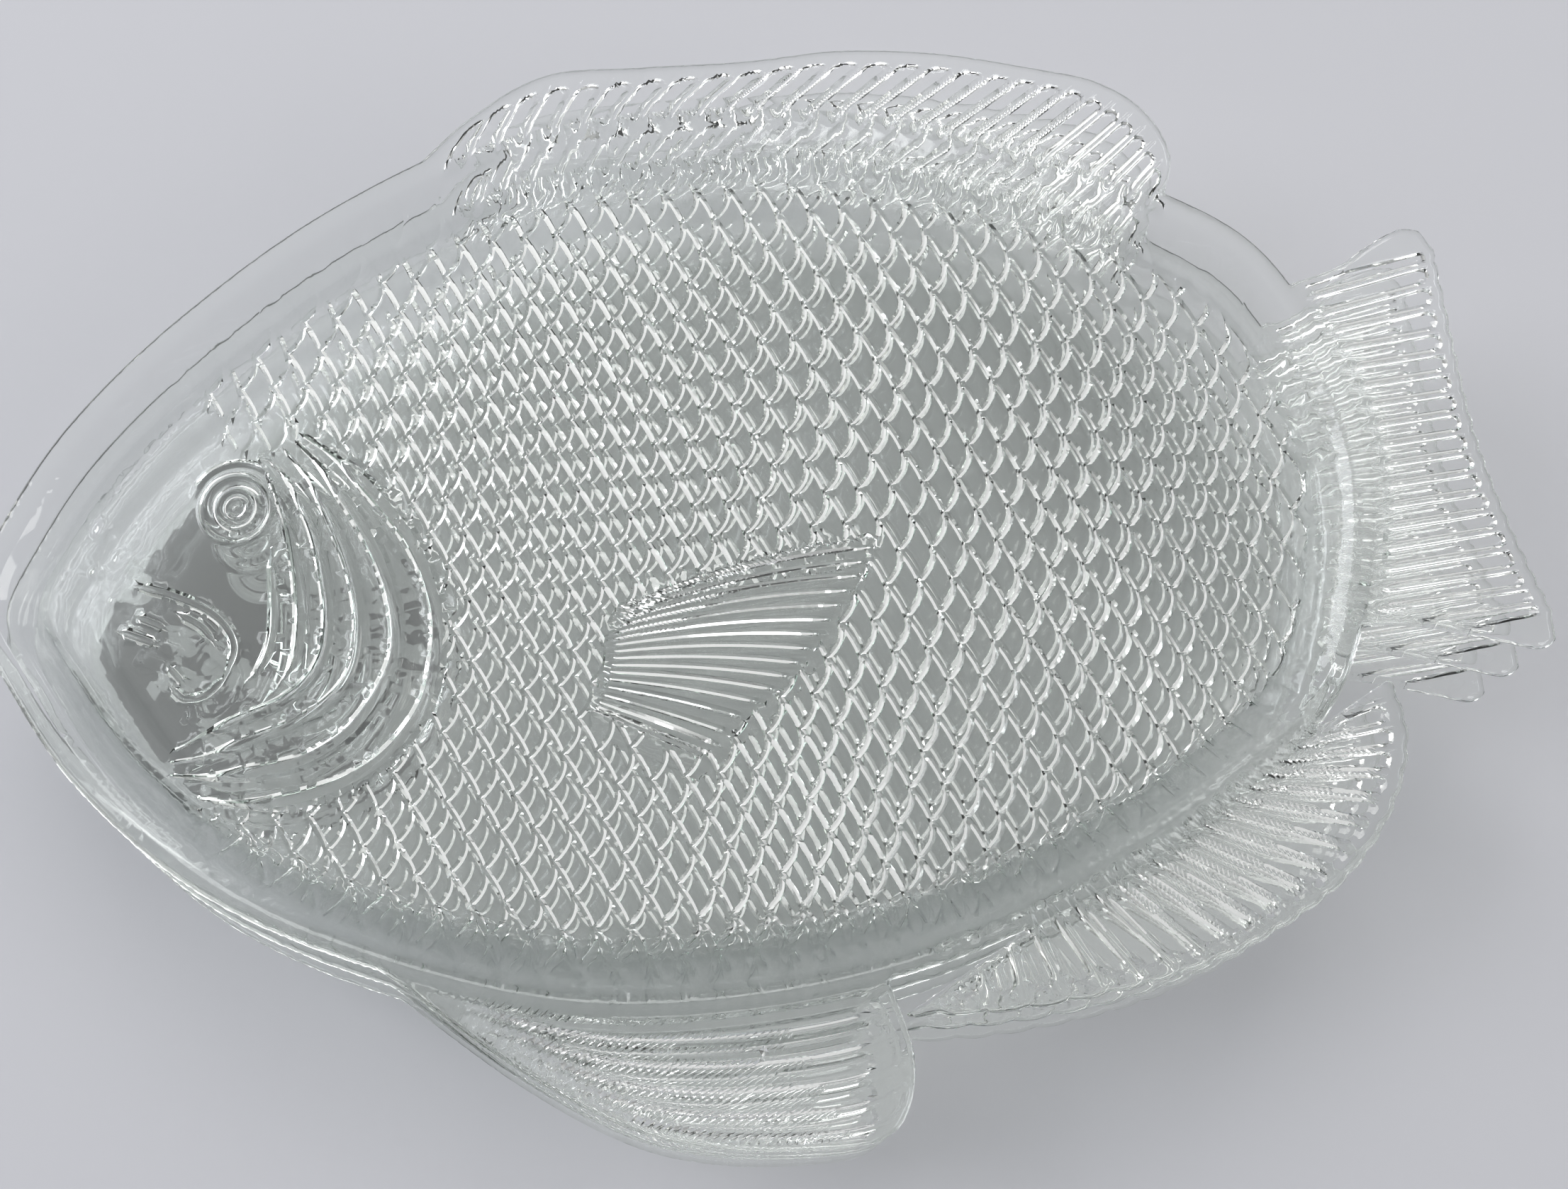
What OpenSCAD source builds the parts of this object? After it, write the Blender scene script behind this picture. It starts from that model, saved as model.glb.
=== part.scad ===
// Three nested fish-shaped serving platters of clear pressed glass.
// Each platter is one moulding: a dish with a sloping wall and a rounded rim, four fluted
// fins that stand out flat from the rim, and a relief pressed up into its underside.
// The fish lies along X with its nose at -X and its back fin at +Y. The foot is at Z = 0.

/* [Dish] */
// Length over the nose and the tail
platter_length = 400; // [340:1:460]
// Length of the dish, nose to tail root, over the rim
dish_length = 360; // [310:1:420]
// Width of the dish over the rim
dish_width = 238; // [200:1:280]
// Height of the rim above the foot
rim_h = 20; // [17:0.5:26]
// Thickness of the glass in the floor and the wall
glass_t = 4.2; // [3.2:0.1:5.5]
// Width of the rounded rim
rim_w = 5.5; // [4:0.5:7.5]
// Fall of the rim from its crest to the top of the wall
rim_fall = 0.9; // [0.5:0.1:1.6]
// Sideways run of the sloping wall, measured at the belly
wall_run = 11; // [9:0.5:15]
// Width of the rounded corner between wall and floor
corner_w = 3; // [2:0.5:5]
// Height of that corner
corner_h = 1.6; // [1:0.1:2.6]

/* [Fins] */
// Thickness of the fins
fin_t = 3.6; // [2.8:0.1:4.6]
// Step down from the crest of the rim to the fins
fin_step = 0.6; // [0.2:0.1:1.2]
// Depth of the flutes
flute_depth = 1.1; // [0.6:0.1:1.5]
// Width of the flutes in the back, tail and anal fins
flute_w = 4.4; // [3:0.1:5.4]
// Plain margin between the flutes and the edge of a fin
margin_w = 5; // [3:0.5:8]
// Height of the scallops along the tail and anal fins
scallop_h = 0.8; // [0.3:0.1:1.5]
// Number of flutes in the back fin
back_flutes = 28; // [20:1:30]
// Number of flutes in the tail fin
tail_flutes = 19; // [12:1:20]
// Number of flutes in the anal fin
anal_flutes = 21; // [14:1:24]
// Number of flutes in the pelvic fin
pelvic_flutes = 6; // [3:1:7]

/* [Relief under the dish] */
// Depth of the relief
relief_depth = 1.2; // [0.6:0.1:1.8]
// Width of a line of the relief
relief_w = 3; // [2:0.1:4]
// Radius of the outer ring of the eye
eye_r = 9.3; // [8:0.1:12]
// Radius of the outer edge of the gill cover
gill_r = 49; // [42:1:54]
// Step from the radius of one ridge of the gill cover to the next
gill_step = 6.8; // [5:0.1:7.5]
// How far the middle of each ridge lies nearer the nose than the last, so that they close up above
gill_shift = 2.6; // [0:0.1:3.5]
// Number of ridges of the gill cover
gill_ridges = 5; // [3:1:6]
// Length of the side fin along its upper spine
side_fin_l = 95; // [76:1:104]
// Number of rays in the side fin
side_rays = 13; // [8:1:14]

/* [Nesting] */
// Sideways play of each platter in the one below, along the fish
nest_x = 2; // [0:0.5:3]
// Sideways play across the fish
nest_y = 5; // [0:0.5:6]
// Clearance left where one wall comes down on the next
nest_gap = 0.3; // [0.2:0.05:1]

/* [Hidden] */

glass_colour = "#c4d3cc";
overrun = glass_t / 10;
scallop_points = 3;
curve_steps = 3;
arc_sides = 18;
half_w = dish_width / 2;
dish_mid = dish_length / 2;

// Root of the tail inside the rim, as a share of the dish's length
tail_root_share = 0.9667;

// The wall is steeper at the nose and the tail root: share of its run that is kept there
end_share = 0.5;

// Outline of the dish, nose to tail root along the back and the fuller throat and belly:
// shares of dish_length and of half_w
dish_shares = [
    [0, 0], [0.025, 0.172], [0.075, 0.382], [0.158, 0.605], [0.269, 0.819], [0.4, 0.97], [0.533, 1],
    [0.661, 0.95], [0.778, 0.828], [0.875, 0.676], [0.944, 0.517], [0.983, 0.277], [1, 0]
];
belly_shares = [
    [0.983, -0.277], [0.944, -0.517], [0.875, -0.676], [0.778, -0.828], [0.661, -0.95], [0.533, -1],
    [0.4, -0.975], [0.269, -0.845], [0.158, -0.665], [0.075, -0.423], [0.025, -0.18]
];

// Outer edges of the fins round the dish: shares of dish_length and of half_w
back_shares = [
    [0.3222, 0.87], [0.3722, 1.0], [0.4333, 1.092], [0.5056, 1.09], [0.5833, 1.08], [0.6556, 1.084],
    [0.7278, 1.055], [0.7944, 1], [0.8472, 0.945], [0.8806, 0.857], [0.8933, 0.74], [0.8778, 0.62]
];
anal_edge_shares = [
    [0.9867, -0.475], [0.9917, -0.6], [0.9733, -0.74], [0.9361, -0.866], [0.8889, -0.952],
    [0.8333, -1.013], [0.7689, -1.05], [0.6944, -1.065], [0.6222, -1.055]
];
pelvic_shares = [
    [0.2667, -0.83], [0.3556, -1.059], [0.4306, -1.206], [0.4944, -1.269], [0.5639, -1.29],
    [0.6022, -1.277], [0.62, -1.215], [0.625, -1.11], [0.6111, -0.95]
];
// Outer edge of the tail: shares of the way from its root to its tip, and of half_w
tail_top_shares = [[0, 0.42], [0.231, 0.445], [0.415, 0.489], [0.585, 0.519], [0.692, 0.512]];
tail_edge_shares = [[0.754, 0.47], [0.762, 0.24], [0.785, 0.02], [0.869, -0.19], [0.985, -0.375]];
tail_low_shares = [[0.969, -0.43], [0.877, -0.446], [0.654, -0.415], [0.292, -0.37], [0, -0.36]];

// Where the flutes start on the rim, as shares of the way round the dish from the nose by the back,
// and where they end, as shares of the way along the fin's edge
back_root_shares = [0.19, 0.385];
back_tip_shares = [0.1, 0.95];
tail_root_shares = [0.435, 0.563];
anal_root_shares = [0.6, 0.71];
// The flutes of the pelvic fin end on its blunt rear edge and run forward to the rim
pelvic_tip_shares = [[0.6111, -1.045], [0.6089, -1.215]];
pelvic_root_shares = [[0.5, -1.04], [0.3833, -1.105]];

// Places of the relief: shares of dish_length and of half_w
eye_share = [0.173, 0.193];
nostril_shares = [[0.072, 0.167], [0.065, 0.071]];
mouth_shares = [
    [[0.098, 0.028], [0.147, -0.036]], [[0.147, -0.036], [0.167, -0.107]], [[0.1, -0.037], [0.151, -0.11]],
    [[0.074, -0.045], [0.107, -0.096]], [[0.124, -0.189], [0.145, -0.219]]
];
gill_share = [0.182, -0.068];
side_fin_share = [0.389, -0.202];
gill_angle = [-116, 66];
side_fin_angle = [-40, 13];
// Length of the lowest ray of the side fin against its upper spine
side_fin_short_share = 0.55;
// Inner end of each ray of the side fin, as a share of its length
side_fin_root_share = 0.22;
// Rings of the eye as shares of its outer radius, and the pupil
eye_ring_shares = [1, 0.6];
pupil_share = 0.25;

function blend_of(a, b, t) = a + (b - a) * t;
function scaled_by(points, size) = [for (p = points) [p.x * size.x, p.y * size.y]];

// Smooth curve through the points, as cubic pieces
function cubic(a, b, c, d, t) =
    (2 * b + (c - a) * t + (2 * a - 5 * b + 4 * c - d) * t ^ 2 + (3 * b - a - 3 * c + d) * t ^ 3) / 2;
function loop_curve(p, steps) = let (n = len(p)) [
    for (i = [0 : n - 1], j = [0 : steps - 1])
        cubic(p[(i + n - 1) % n], p[i], p[(i + 1) % n], p[(i + 2) % n], j / steps)
];
function open_curve(p, steps) = let (n = len(p)) [
    for (i = [0 : n - 2], j = [0 : steps - 1])
        cubic(p[max(i - 1, 0)], p[i], p[i + 1], p[min(i + 2, n - 1)], j / steps),
    p[n - 1]
];

// Point at a share of the way along a list of points
function point_at(p, share) =
    let (f = share * (len(p) - 1), i = min(floor(f), len(p) - 2)) blend_of(p[i], p[i + 1], f - i);
function unit_of(v) = v / norm(v);
function left_of(v) = [-v.y, v.x];
// The side of an edge that faces away from the fish, for an edge that runs nose to tail on top
function outward(p, share, step) =
    left_of(unit_of(point_at(p, min(share + step, 1)) - point_at(p, max(share - step, 0))));

dish_size = [dish_length, half_w];
dish_loop = loop_curve(scaled_by(concat(dish_shares, belly_shares), dish_size), curve_steps);
dish_closed = concat(dish_loop, [dish_loop[0]]);

// The dish outline drawn in by an inset
function end_inset(inset) = min(inset, rim_w) + end_share * max(inset - rim_w, 0);
function dish_ring(inset) = [
    for (p = dish_loop)
        [p.x + end_inset(inset) * (dish_mid - p.x) / dish_mid, p.y - inset * p.y / half_w]
];

// Slope of the wall, the glass measured level through it, and the wall's outer face
wall_top = rim_h - rim_fall;
wall_drop = wall_top - glass_t - corner_h;
wall_tan = wall_drop / wall_run;
level_t = glass_t / sin(atan(wall_tan));
rim_under = rim_h - glass_t;
rim_under_inset = (wall_top - rim_under) / wall_tan + rim_w - level_t;
foot_inset = wall_top / wall_tan + rim_w - level_t;
edge_round = glass_t / 4;

// Section of the dish, from the foot up the outside, over the rim and down the inside
section = [
    [foot_inset, 0],
    [rim_under_inset, rim_under],
    [0, rim_under + edge_round],
    [0, rim_h - edge_round],
    [rim_w / 2, rim_h],
    [rim_w, wall_top],
    [rim_w + wall_run, glass_t + corner_h],
    [rim_w + wall_run + corner_w, glass_t]
];

// Closed skin through rings of equal point counts, lowest outside ring first
module skin(rings) {
    n = len(rings[0]);
    last = len(rings) - 1;
    polyhedron(
        points = [for (r = rings) each r],
        faces = concat(
            [[for (i = [n - 1 : -1 : 0]) i]],
            [[for (i = [0 : n - 1]) last * n + i]],
            [for (k = [0 : last - 1], i = [0 : n - 1]) [k * n + i, k * n + (i + 1) % n, (k + 1) * n + i]],
            [for (k = [0 : last - 1], i = [0 : n - 1])
                [(k + 1) * n + i, k * n + (i + 1) % n, (k + 1) * n + (i + 1) % n]]
        )
    );
}

module dish() {
    skin([for (s = section) [for (p = dish_ring(s[0])) [p.x, p.y, s[1]]]]);
}

// Fin edges at their real size, the scalloped ones with one lobe for each flute
function tail_points(shares) =
    [for (p = shares) [blend_of(dish_length * tail_root_share, platter_length, p.x), p.y * half_w]];
back_edge = open_curve(scaled_by(back_shares, dish_size), curve_steps);
tail_curve = open_curve(tail_points(tail_edge_shares), tail_flutes);
anal_curve = open_curve(scaled_by(anal_edge_shares, dish_size), anal_flutes);
pelvic_edge = open_curve(scaled_by(pelvic_shares, dish_size), curve_steps);

function scalloped(edge, lobes) = [
    for (i = [0 : lobes - 1], j = [0 : scallop_points - 1])
        let (share = (i + j / scallop_points) / lobes)
            point_at(edge, share)
            + outward(edge, share, 1 / lobes) * scallop_h * (sin(180 * j / scallop_points) - 1)
];
tail_edge = concat(
    open_curve(tail_points(tail_top_shares), curve_steps),
    scalloped(tail_curve, tail_flutes),
    open_curve(tail_points(tail_low_shares), curve_steps)
);
anal_edge = scalloped(anal_curve, anal_flutes);

fin_top = rim_h - fin_step;
fin_under = fin_top - fin_t;

// Flat fin that reaches from its edge into the rim
module fin_plate(edge) {
    translate([0, 0, fin_under])
        linear_extrude(fin_t)
            difference() {
                polygon(edge);
                polygon(dish_ring(rim_w / 2));
            }
}

// Six-sided pit, w across where it leaves the glass at level z
module pit(at, turn, w, depth, z) {
    spread = (depth + overrun) / depth;
    translate([at.x, at.y, z - overrun])
        rotate(turn)
            cylinder(h = depth + overrun, r1 = spread * w / 2, r2 = 0, $fn = 6);
}

// Straight flute from a to b, with a pit at each end
module flute(a, b, w_a, w_b, depth, z) {
    turn = atan2(b.y - a.y, b.x - a.x);
    hull() {
        pit(a, turn, w_a, depth, z);
        pit(b, turn, w_b, depth, z);
    }
}

// Flute across a fin, from the rim at root to the margin inside tip
module fin_flute(root, tip) {
    way = unit_of(tip - root);
    flute(root + way * flute_w / 2, tip - way * (margin_w + flute_w / 2), flute_w, flute_w,
        flute_depth, fin_under);
}

module flutes_between(roots, edge, tips, count) {
    for (i = [0 : count - 1]) {
        share = (i + 1 / 2) / count;
        fin_flute(
            point_at(dish_closed, blend_of(roots[0], roots[1], share)),
            point_at(edge, blend_of(tips[0], tips[1], share))
        );
    }
}

module pelvic_flutes_cut() {
    for (i = [0 : pelvic_flutes - 1]) {
        share = i / (pelvic_flutes - 1);
        root = blend_of(pelvic_root_shares[0], pelvic_root_shares[1], share);
        tip = blend_of(pelvic_tip_shares[0], pelvic_tip_shares[1], share);
        fin_flute(scaled_by([root], dish_size)[0], scaled_by([tip], dish_size)[0]);
    }
}

module fins() {
    fin_plate(back_edge);
    fin_plate(tail_edge);
    fin_plate(anal_edge);
    fin_plate(pelvic_edge);
}

module fin_flutes() {
    flutes_between(back_root_shares, back_edge, back_tip_shares, back_flutes);
    flutes_between(tail_root_shares, tail_curve, [0, 1], tail_flutes);
    flutes_between(anal_root_shares, anal_curve, [0, 1], anal_flutes);
    pelvic_flutes_cut();
}

// V-shaped ring or arc of the relief
module relief_arc(r, from, sweep) {
    rotate_extrude(angle = sweep, start = from, $fn = arc_sides)
        polygon([
            [r - relief_w / 2 - overrun, -overrun], [r + relief_w / 2 + overrun, -overrun], [r, relief_depth]
        ]);
}

module at_share(share) {
    translate([share.x * dish_length, share.y * half_w, 0]) children();
}

module eye_relief() {
    at_share(eye_share) {
        for (share = eye_ring_shares) relief_arc(eye_r * share, 0, 360);
        pit([0, 0], 0, eye_r * pupil_share * 2, relief_depth, 0);
    }
}

module head_relief() {
    for (share = nostril_shares) at_share(share) pit([0, 0], 0, relief_w * 2, relief_depth, 0);
    for (line = mouth_shares) {
        ends = scaled_by(line, dish_size);
        flute(ends[0], ends[1], relief_w, relief_w, relief_depth, 0);
    }
    at_share(gill_share)
        for (i = [0 : gill_ridges - 1])
            translate([-i * gill_shift, 0, 0])
                relief_arc(gill_r - i * gill_step, gill_angle[0], gill_angle[1] - gill_angle[0]);
}

module side_fin_relief() {
    at_share(side_fin_share)
        for (i = [0 : side_rays - 1]) {
            share = i / (side_rays - 1);
            turn = blend_of(side_fin_angle[0], side_fin_angle[1], share);
            reach = side_fin_l * blend_of(side_fin_short_share, 1, share);
            way = [cos(turn), sin(turn)];
            flute(way * reach * side_fin_root_share, way * reach, relief_w / 2, relief_w, relief_depth, 0);
        }
}

// One platter, nose at the origin
module platter() {
    color(glass_colour)
        difference() {
            union() {
                dish();
                fins();
            }
            fin_flutes();
            eye_relief();
            head_relief();
            side_fin_relief();
        }
}

// How far a platter stands above the one below: at each edge of the outline, its foot has to
// clear the wall below, and its outer wall the top of the wall below, with the play taken up
nest_play = [nest_x, nest_y];
wall_ring = dish_ring(rim_w);
floor_ring = dish_ring(rim_w + wall_run);
under_ring = dish_ring(rim_under_inset);
foot_ring = dish_ring(foot_inset);
nest_pitch = max([
    for (i = [0 : len(dish_loop) - 1])
        let (
            way = left_of(unit_of(dish_closed[i + 1] - dish_closed[i])),
            foot_room = way * (wall_ring[i] - foot_ring[i] - nest_play) - nest_gap,
            rim_room = way * (wall_ring[i] - under_ring[i] - nest_play) - nest_gap
        )
            max(
                wall_top - wall_drop * foot_room / (way * (wall_ring[i] - floor_ring[i])),
                wall_top - rim_under - rim_under * rim_room / (way * (under_ring[i] - foot_ring[i]))
            )
]);

// Middle of the whole stack, so that it stands centred on the origin
all_edges = concat(dish_loop, back_edge, tail_edge, anal_edge, pelvic_edge);
stack_mid = [
    for (k = [0 : 1])
        (min([for (p = all_edges) p[k]]) + max([for (p = all_edges) p[k]]) + 2 * nest_play[k]) / 2
];

module nested(level) {
    translate([level * nest_x - stack_mid.x, level * nest_y - stack_mid.y, level * nest_pitch]) platter();
}

module platter_bottom() {
    nested(0);
}

module platter_middle() {
    nested(1);
}

module platter_top() {
    nested(2);
}

platter_bottom();
platter_middle();
platter_top();
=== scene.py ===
# %% [markdown]
# # Three nested fish shaped platters in clear pressed glass
# The stack lies on a pale floor and is seen almost from straight above, with the nose at the left.
# Each platter is one moulding: a dish with a sloping wall, four fluted fins that stand out from its
# rim, and a relief pressed into its underside. The upper face is smooth, so everything that looks
# carved is seen through the glass.

import math

import bpy
import numpy as np
from mathutils import Matrix, Vector
from mathutils.geometry import delaunay_2d_cdt
from mathutils.kdtree import KDTree


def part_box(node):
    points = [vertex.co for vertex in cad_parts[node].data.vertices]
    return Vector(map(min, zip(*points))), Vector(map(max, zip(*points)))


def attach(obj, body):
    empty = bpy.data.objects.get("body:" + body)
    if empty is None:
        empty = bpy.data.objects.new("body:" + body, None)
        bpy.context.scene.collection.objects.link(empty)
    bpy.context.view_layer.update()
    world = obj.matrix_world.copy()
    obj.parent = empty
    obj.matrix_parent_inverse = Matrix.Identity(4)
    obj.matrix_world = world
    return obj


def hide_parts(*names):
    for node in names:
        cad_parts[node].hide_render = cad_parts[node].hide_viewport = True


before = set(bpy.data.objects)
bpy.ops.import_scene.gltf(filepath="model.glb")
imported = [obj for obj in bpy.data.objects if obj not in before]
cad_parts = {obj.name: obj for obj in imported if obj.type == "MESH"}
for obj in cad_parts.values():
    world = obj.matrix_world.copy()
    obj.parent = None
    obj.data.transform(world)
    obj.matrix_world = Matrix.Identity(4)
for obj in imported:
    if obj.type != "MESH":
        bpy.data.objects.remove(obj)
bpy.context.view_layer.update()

# %% [markdown]
# ## Camera
# The photograph was taken from 80 degrees up, close to the dish, with a phone's wide lens. The
# position and the three axes below were fitted to the outline of the dish and its fins.

# %% Camera
SENSOR_MM, LENS_MM = 36, 31.41
CAMERA_PLACE = (0.002007, -0.062843, 0.39176)
camera_data = bpy.data.cameras.new("camera")
camera_data.sensor_width = SENSOR_MM
camera_data.lens = LENS_MM
camera = bpy.data.objects.new("camera", camera_data)
bpy.context.scene.collection.objects.link(camera)
view_right = Vector((0.9945, -0.1045, 0.0)).normalized()
view_ahead = Vector((0.01815, 0.17270, -0.98481)).normalized()
view_up = view_right.cross(view_ahead).normalized()
camera.matrix_world = Matrix.Translation(CAMERA_PLACE) @ Matrix(
    (view_right, view_up, -view_ahead)
).transposed().to_4x4()
bpy.context.scene.camera = camera
print("camera at", [round(v, 3) for v in camera.location])

# %% [markdown]
# ## Outline of the fish
# All sizes are in millimetres in the frame of one platter: the nose at the origin, the tail at +X,
# the back at +Y and the foot at Z = 0. The outline is the dish with the four fins grown onto it.
# Each curve is given by a few points, as shares of a length and of the dish's half width.

# %% Points of the outline
DISH_L, HALF_W, PLATTER_L = 360.0, 119.0, 400.0
DISH_MID = DISH_L / 2
BACK_FLUTES, TAIL_FLUTES, ANAL_FLUTES, PELVIC_FLUTES = 28, 19, 21, 6
SCALLOP_H = 0.8

dish_points = np.array([
    (0, 0), (0.025, 0.172), (0.075, 0.382), (0.158, 0.605), (0.269, 0.819), (0.4, 0.97), (0.533, 1),
    (0.661, 0.95), (0.778, 0.828), (0.875, 0.676), (0.944, 0.517), (0.983, 0.277), (1, 0),
    (0.983, -0.277), (0.944, -0.517), (0.875, -0.676), (0.778, -0.828), (0.661, -0.95), (0.533, -1),
    (0.4, -0.975), (0.269, -0.845), (0.158, -0.665), (0.075, -0.423), (0.025, -0.18),
]) * (DISH_L, HALF_W)
fin_size = (PLATTER_L, HALF_W)
back_points = np.array([
    (0.29, 0.87), (0.335, 1.0), (0.39, 1.092), (0.455, 1.09), (0.525, 1.08), (0.59, 1.084),
    (0.655, 1.055), (0.715, 1), (0.7625, 0.945), (0.7925, 0.857), (0.804, 0.74), (0.79, 0.62),
]) * fin_size
tail_top_points = np.array([
    (0.87, 0.42), (0.9, 0.445), (0.924, 0.489), (0.946, 0.519), (0.96, 0.512),
]) * fin_size
tail_points = np.array([
    (0.968, 0.47), (0.969, 0.24), (0.972, 0.02), (0.983, -0.19), (0.998, -0.375),
]) * fin_size
tail_low_points = np.array([
    (0.996, -0.43), (0.984, -0.446), (0.955, -0.415), (0.908, -0.37), (0.87, -0.36),
]) * fin_size
anal_points = np.array([
    (0.888, -0.475), (0.8925, -0.6), (0.876, -0.74), (0.8425, -0.866), (0.8, -0.952), (0.75, -1.013),
    (0.692, -1.05), (0.625, -1.065), (0.56, -1.055),
]) * fin_size
pelvic_points = np.array([
    (0.24, -0.83), (0.32, -1.059), (0.3875, -1.206), (0.445, -1.269), (0.5075, -1.29),
    (0.542, -1.277), (0.558, -1.215), (0.5625, -1.11), (0.55, -0.95),
]) * fin_size
print("given points:", len(dish_points), "for the dish and", len(back_points), "for the back fin")

# %% [markdown]
# A smooth curve runs through each row of points. The tail and the anal fin have a scalloped edge,
# with one shallow lobe for each flute.

# %% Curves of the outline
CURVE_SAMPLES, LOBE_SAMPLES = 1201, 24


def curve_at(points, share, closed=False):
    """Point on the smooth curve through the points, at a share of the way along."""
    n = len(points)
    spans = n if closed else n - 1
    f = np.clip(np.asarray(share, float), 0, 1) * spans
    i = np.minimum(f.astype(int), spans - 1)
    t = (f - i)[..., None]
    a, b, c, d = (
        points[(i + k) % n] if closed else points[np.clip(i + k, 0, n - 1)] for k in (-1, 0, 1, 2)
    )
    return (2 * b + (c - a) * t + (2 * a - 5 * b + 4 * c - d) * t**2 + (3 * b - a - 3 * c + d) * t**3) / 2


def scalloped(points, lobes):
    """The curve with one shallow lobe for each flute, drawn in between them."""
    share = np.linspace(0, 1, lobes * LOBE_SAMPLES + 1)
    at = curve_at(points, share)
    way = np.gradient(at, axis=0)
    way /= np.linalg.norm(way, axis=1)[:, None]
    out = np.stack([-way[:, 1], way[:, 0]], 1)
    return at + out * (SCALLOP_H * (np.abs(np.sin(np.pi * share * lobes)) ** 0.7 - 1))[:, None]


fine = np.linspace(0, 1, CURVE_SAMPLES)
dish_loop = curve_at(dish_points, fine[:-1], closed=True)
back_edge = curve_at(back_points, fine)
tail_edge = np.concatenate([
    curve_at(tail_top_points, fine[::6]),
    scalloped(tail_points, TAIL_FLUTES),
    curve_at(tail_low_points, fine[::6]),
])
anal_edge = scalloped(anal_points, ANAL_FLUTES)
pelvic_edge = curve_at(pelvic_points, fine)[::-1]
shapes = [dish_loop, back_edge, tail_edge, anal_edge, pelvic_edge]
print("outline curves:", [len(s) for s in shapes])

# %% [markdown]
# The five curves are joined into one closed line. Each keeps only the stretch that lies outside the
# others, and the stretches follow one another round the fish.

# %% One closed outline
def outside(p, ring):
    """True for the points that lie outside the closed ring."""
    x, y = p[:, 0], p[:, 1]
    crossings = np.zeros(len(p), int)
    for (ax, ay), (bx, by) in zip(ring, np.roll(ring, -1, axis=0)):
        if ay != by:
            spans = (ay > y) != (by > y)
            crossings += spans & (x < (bx - ax) * (y - ay) / (by - ay) + ax)
    return crossings % 2 == 0


def way_round(run):
    """Angle of a stretch's middle, counted from the nose over the back."""
    middle = run[len(run) // 2] - (DISH_MID, 0)
    return (math.pi - math.atan2(middle[1], middle[0])) % (2 * math.pi)


stretches = []
for k, shape in enumerate(shapes):
    free = np.ones(len(shape), bool)
    for m, other in enumerate(shapes):
        if m != k:
            free &= outside(shape, other[::4])
    starts = np.flatnonzero(np.diff(free.astype(int)))
    for run in np.split(np.arange(len(shape)), starts + 1):
        if free[run[0]] and len(run) > 3:
            stretches.append(shape[run])
# the stretch that ends at the nose comes last
last = [r for r in stretches if np.allclose(r[-1], dish_loop[-1])]
stretches = sorted([r for r in stretches if not np.allclose(r[-1], dish_loop[-1])], key=way_round) + last
outline = np.concatenate(stretches)
print("stretches:", len(stretches), "with", len(outline), "points")

# %% [markdown]
# A light smoothing leaves a small fillet where a fin meets the rim, as pressed glass has. The line
# is then spaced evenly, because its points become the edge of the glass.

# %% Even and smooth edge
FINE_STEP, EDGE_STEP, FILLET_POINTS = 0.2, 0.85, 2.6


def spaced(line, step, closed=True):
    """The line with its points a fixed step apart."""
    line = np.concatenate([line, line[:1]]) if closed else line
    length = np.concatenate([[0], np.cumsum(np.linalg.norm(np.diff(line, axis=0), axis=1))])
    count = max(int(round(length[-1] / step)), 2)
    at = np.linspace(0, length[-1], count + 1)
    found = np.stack([np.interp(at, length, line[:, k]) for k in (0, 1)], 1)
    return found[:-1] if closed else found


def softened(line, sigma):
    """The closed line with its corners eased, sigma counted in points."""
    reach = int(4 * sigma) + 1
    weight = np.exp(-0.5 * (np.arange(-reach, reach + 1) / sigma) ** 2)
    weight /= weight.sum()
    return sum(w * np.roll(line, k, axis=0) for w, k in zip(weight, range(-reach, reach + 1)))


def unit_way(line):
    """Unit direction of an open line at each of its points."""
    way = np.gradient(line, axis=0)
    return way / np.linalg.norm(way, axis=1)[:, None]


fine_outline = softened(spaced(outline, FINE_STEP), FILLET_POINTS)
edge = spaced(fine_outline, EDGE_STEP)
way = np.roll(edge, -1, axis=0) - np.roll(edge, 1, axis=0)
way /= np.linalg.norm(way, axis=1)[:, None]
inward = np.stack([way[:, 1], -way[:, 0]], 1)
print("outline:", len(edge), "points,", fine_outline.min(0).round(1), fine_outline.max(0).round(1))

# %% [markdown]
# Much of the shape depends on how near a point is to a line: to the edge, where the glass is rounded
# over, and later to the lines of the head. A search tree answers that quickly.

# %% Distance from a line
def tree_of(line):
    """Search tree of a line's points."""
    tree = KDTree(len(line))
    for i, (x, y) in enumerate(line):
        tree.insert((x, y, 0), i)
    tree.balance()
    return tree


edge_tree = tree_of(fine_outline)


def edge_distance(p):
    """How far each point lies from the outline."""
    return np.array([edge_tree.find((x, y, 0))[2] for x, y in p])


print("middle of the dish to the edge:", edge_distance(np.array([(DISH_MID, 0.0)])).round(1), "mm")

# %% [markdown]
# ## Section of the dish
# How far a point lies inside the rim decides its height. That inset is looked up from rings drawn
# round the dish, because the wall is steeper at the nose and the tail root than along the flanks.

# %% Inset
RIM_W, END_SHARE = 5.5, 0.5
INSET_LOW, INSET_HIGH, INSET_STEP = -6, 31, 0.5
insets = np.arange(INSET_LOW, INSET_HIGH + 1, INSET_STEP)
angles = np.linspace(0, 2 * np.pi, 1441)


def dish_ring(inset, share=fine[:-1]):
    """Ring round the dish, an inset inside the rim, drawn in less towards the two ends."""
    p = curve_at(dish_points, share, closed=True)
    end = min(inset, RIM_W) + END_SHARE * max(inset - RIM_W, 0)
    return p + np.stack([end * (DISH_MID - p[:, 0]) / DISH_MID, -inset * p[:, 1] / HALF_W], 1)


radii = []
for inset in insets:
    p = dish_ring(inset) - (DISH_MID, 0)
    turn = np.arctan2(p[:, 1], p[:, 0]) % (2 * np.pi)
    order = np.argsort(turn)
    radii.append(np.interp(angles, turn[order], np.hypot(p[:, 0], p[:, 1])[order], period=2 * np.pi))
radii = np.array(radii)


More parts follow.
